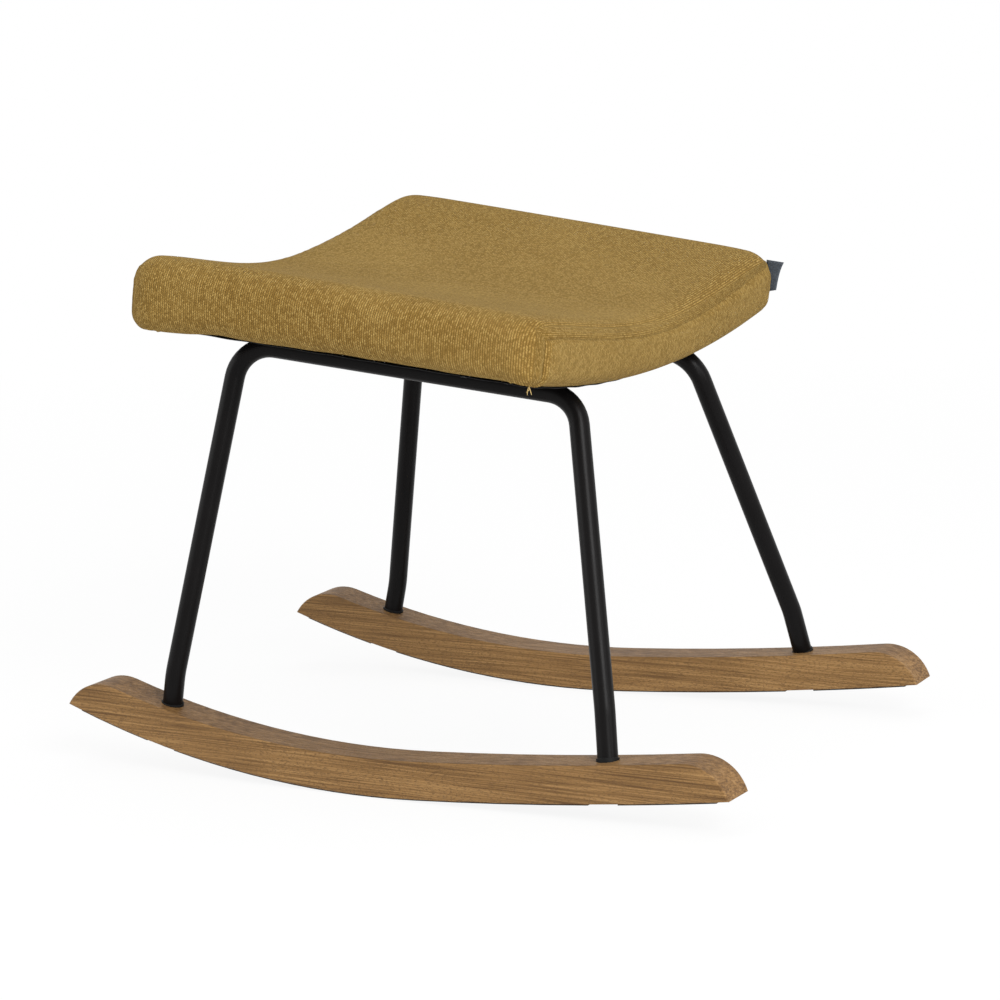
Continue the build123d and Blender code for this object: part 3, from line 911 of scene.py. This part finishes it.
def makeLining(cloth):
    counts = [round(size / cloth["cell"]) for size in cloth["size"]]
    points, faces = [], []
    for i in range(counts[0] + 1):
        for j in range(counts[1] + 1):
            along = cloth["size"][0] * (i / counts[0] - 0.5)
            across = cloth["size"][1] * (j / counts[1] - 0.5)
            points.append(seatPoint(along, across, liningHeight(along, across, cloth)))
    for i in range(counts[0]):
        for j in range(counts[1]):
            along = cloth["size"][0] * ((i + 0.5) / counts[0] - 0.5)
            across = cloth["size"][1] * ((j + 0.5) / counts[1] - 0.5)
            if not inWindow(along, across, cloth):
                a = i * (counts[1] + 1) + j
                faces.append((a, a + 1, a + counts[1] + 2, a + counts[1] + 1))
    kept = len(faces)
    used = sorted({number for face in faces for number in face})
    renumber = {old: new for new, old in enumerate(used)}
    points = [points[old] for old in used]
    faces = [tuple(renumber[number] for number in face) for face in faces]
    piece = makePiece("undersideLining", points, faces, finishes["liningCloth"])
    thicken(piece, cloth["thickness"])
    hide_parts("underside_lining")
    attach(piece, "root")
    whole = cloth["size"][0] * cloth["size"][1]
    whole * kept / (counts[0] * counts[1])


makeLining(lining)

# wire staples along the lining's edge
staples = {"inset": 0.0245, "crown": 0.0100, "wire": 0.00045, "sunk": 0.0002}


def makeStaples(setup, cloth):
    points, faces = [], []
    half = (seat["drawnLength"] / 2 - setup["inset"], seat["drawnWidth"] / 2 - setup["inset"])
    for axis in (0, 1):
        count = int(2 * half[axis] / cloth["staplePitch"])
        for number in range(count + 1):
            run = (number - count / 2) * cloth["staplePitch"]
            for side in (-1, 1):
                line = []
                for step in range(5):
                    share = step / 2 - 1
                    place = [0, 0]
                    place[axis] = run + share * setup["crown"] / 2
                    place[1 - axis] = side * half[1 - axis]
                    height = liningHeight(*place, cloth) - cloth["thickness"] / 2 - setup["sunk"]
                    if abs(share) == 1:
                        height += 3 * setup["wire"]
                    line.append(seatPoint(*place, height))
                addTube(points, faces, line, setup["wire"])
    piece = makePiece("liningStaples", points, faces, finishes["zincSteel"])
    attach(piece, "root")


makeStaples(staples, lining)
print("lining and staples made")

# loop of ribbon sewn into the far corner's seam at the low end, its fold flared outwards
tag = {
    "root": (0.1702, 0.2250),
    "top": 0.0010,
    "width": 0.0240,
    "reachTop": 0.0152,
    "reachUnder": 0.0112,
    "underSlant": 0.0036,
    "ribbon": 0.0005,
    "apart": 0.0009,
    "pinch": 0.35,
    "bow": 0.0012,
    "tilt": 0.0006,
    "rows": 16,
    "sideSteps": 6,
    "foldSteps": 10,
}


def makeTag(loop):
    points, faces = [], []
    low, high = loop["root"]
    sideSteps, foldSteps = loop["sideSteps"], loop["foldSteps"]
    for row in range(loop["rows"] + 1):
        share = row / loop["rows"]
        flare = (1 - share) ** 3
        reach = loop["reachTop"] * flare + loop["reachUnder"] * (1 - flare)
        lean = loop["bow"] * math.sin(math.pi * share) - loop["tilt"] * share
        ring = []
        for layer in (-1, 1):
            run = [(reach - loop["apart"]) * i / sideSteps for i in range(sideSteps)]
            opening = [loop["pinch"] + (1 - loop["pinch"]) * (x / reach) for x in run]
            side = [(x, layer * loop["apart"] * gap) for x, gap in zip(run, opening)]
            ring.append(side)
        bend = []
        for step in range(foldSteps + 1):
            turn = math.pi * step / foldSteps - math.pi / 2
            bend.append(
                (reach - loop["apart"] + loop["apart"] * math.cos(turn), loop["apart"] * math.sin(turn))
            )
        line = ring[0] + bend + ring[1][::-1]
        for x, y in line:
            slant = loop["underSlant"] * share * (1 - x / reach)
            height = loop["top"] - loop["width"] * share - slant
            points.append(seatPoint(low + x, high + y + lean * x / reach, height))
    across = len(line)
    for row in range(loop["rows"]):
        for step in range(across - 1):
            a = row * across + step
            faces.append((a, a + 1, a + across + 1, a + across))
    piece = makePiece("sideTag", points, faces, finishes["tagRibbon"])
    thicken(piece, loop["ribbon"])
    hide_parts("woven_tag")
    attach(piece, "root")


makeTag(tag)
print("tag made")

stage = {
    "floorSize": 60.0,
    "floor": rgb(0.88, 0.88, 0.88),
    "clearFrom": 0.75,
    "clearAt": 2.2,
    "glowNear": 0.90,
    "air": 0.55,
}


# the camera and reflections see the floor as white, and near the stool a little of its shadow
def makeFloor(setup):
    half = setup["floorSize"] / 2
    corners = [(-half, -half, 0), (half, -half, 0), (half, half, 0), (-half, half, 0)]
    finish = newFinish("floorPaint")
    place = finish.place()
    away = finish.add("ShaderNodeVectorMath", {"operation": "LENGTH"}, {0: place}, out=1)
    clear = ((away - setup["clearFrom"]) / (setup["clearAt"] - setup["clearFrom"])).clip()
    share = finish.seenWhite() * (clear * (1 - setup["glowNear"]) + setup["glowNear"])
    grain = finish.noise(place, 60.0, 2.0)
    paint = finish.add(
        "ShaderNodeBsdfPrincipled",
        {},
        {
            "Base Color": setup["floor"],
            "Roughness": 0.9,
            "Specular IOR Level": 0.0,
            "Normal": finish.bump(grain, 0.0001),
        },
    )
    white = finish.add("ShaderNodeEmission", {}, {"Color": rgb(1, 1, 1), "Strength": 1.0})
    both = finish.add("ShaderNodeMixShader", {}, {0: share, 1: paint, 2: white})
    finish.add("ShaderNodeOutputMaterial", {}, {"Surface": both})
    floor = makePiece("floor", corners, [(0, 1, 2, 3)], finish.holder)


makeFloor(stage)


def makeAir(setup):
    world = bpy.data.worlds.new("studioAir")
    bpy.context.scene.world = world
    finish = Finish(world)
    white = rgb(1, 1, 1)
    light, seen = (
        finish.add("ShaderNodeBackground", {}, {"Color": white, "Strength": strength})
        for strength in (setup["air"], 1.0)
    )
    both = finish.add("ShaderNodeMixShader", {}, {0: finish.seenWhite(), 1: light, 2: seen})
    finish.add("ShaderNodeOutputWorld", {}, {"Surface": both})


makeAir(stage)

lamps = {
    "keyLamp": {"place": (2.5, -1.9, 2.2), "size": 1.6, "power": 90},
    "fillLamp": {"place": (-2.6, -1.6, 1.6), "size": 2.4, "power": 34},
    "topLamp": {"place": (0.0, 0.6, 3.0), "size": 2.6, "power": 26},
    "lowLamp": {"place": (2.3, -2.3, 0.45), "size": 0.7, "power": 9},
    "endLamp": {"place": (3.0, -0.4, 0.9), "size": 1.0, "power": 10},
}
lampAim = Vector((0, 0, 0.2))
for lampName, setup in lamps.items():
    light = bpy.data.lights.new(lampName, "AREA")
    light.shape = "SQUARE"
    light.size = setup["size"]
    light.energy = setup["power"]
    lamp = bpy.data.objects.new(lampName, light)
    lamp.location = setup["place"]
    aim = lampAim - lamp.location
    lamp.rotation_euler = aim.to_track_quat("-Z", "Y").to_euler()
    bpy.context.scene.collection.objects.link(lamp)

photoCamera = {
    "place": (1.3175, -2.6356, 0.7403),
    "turn": 26.565,
    "downwards": 10.4235,
    "roll": -1.319,
    "lens": 132.907,
    "sensor": 36,
    "seesTo": 200,
}


def makeCamera(setup):
    turn, down, roll = (math.radians(setup[name]) for name in ("turn", "downwards", "roll"))
    forward = Vector(
        (-math.sin(turn) * math.cos(down), math.cos(turn) * math.cos(down), -math.sin(down))
    )
    level = Vector((math.cos(turn), math.sin(turn), 0))
    upright = level.cross(forward)
    right = level * math.cos(roll) + upright * math.sin(roll)
    up = upright * math.cos(roll) - level * math.sin(roll)
    lens = bpy.data.cameras.new("photoCamera")
    lens.lens = setup["lens"]
    lens.sensor_width = setup["sensor"]
    lens.clip_end = setup["seesTo"]
    camera = bpy.data.objects.new("photoCamera", lens)
    turned = Matrix((right, up, -forward)).transposed().to_4x4()
    camera.matrix_world = Matrix.Translation(setup["place"]) @ turned
    bpy.context.scene.collection.objects.link(camera)
    bpy.context.scene.camera = camera


makeCamera(photoCamera)
bpy.context.scene.view_settings.view_transform = "Standard"
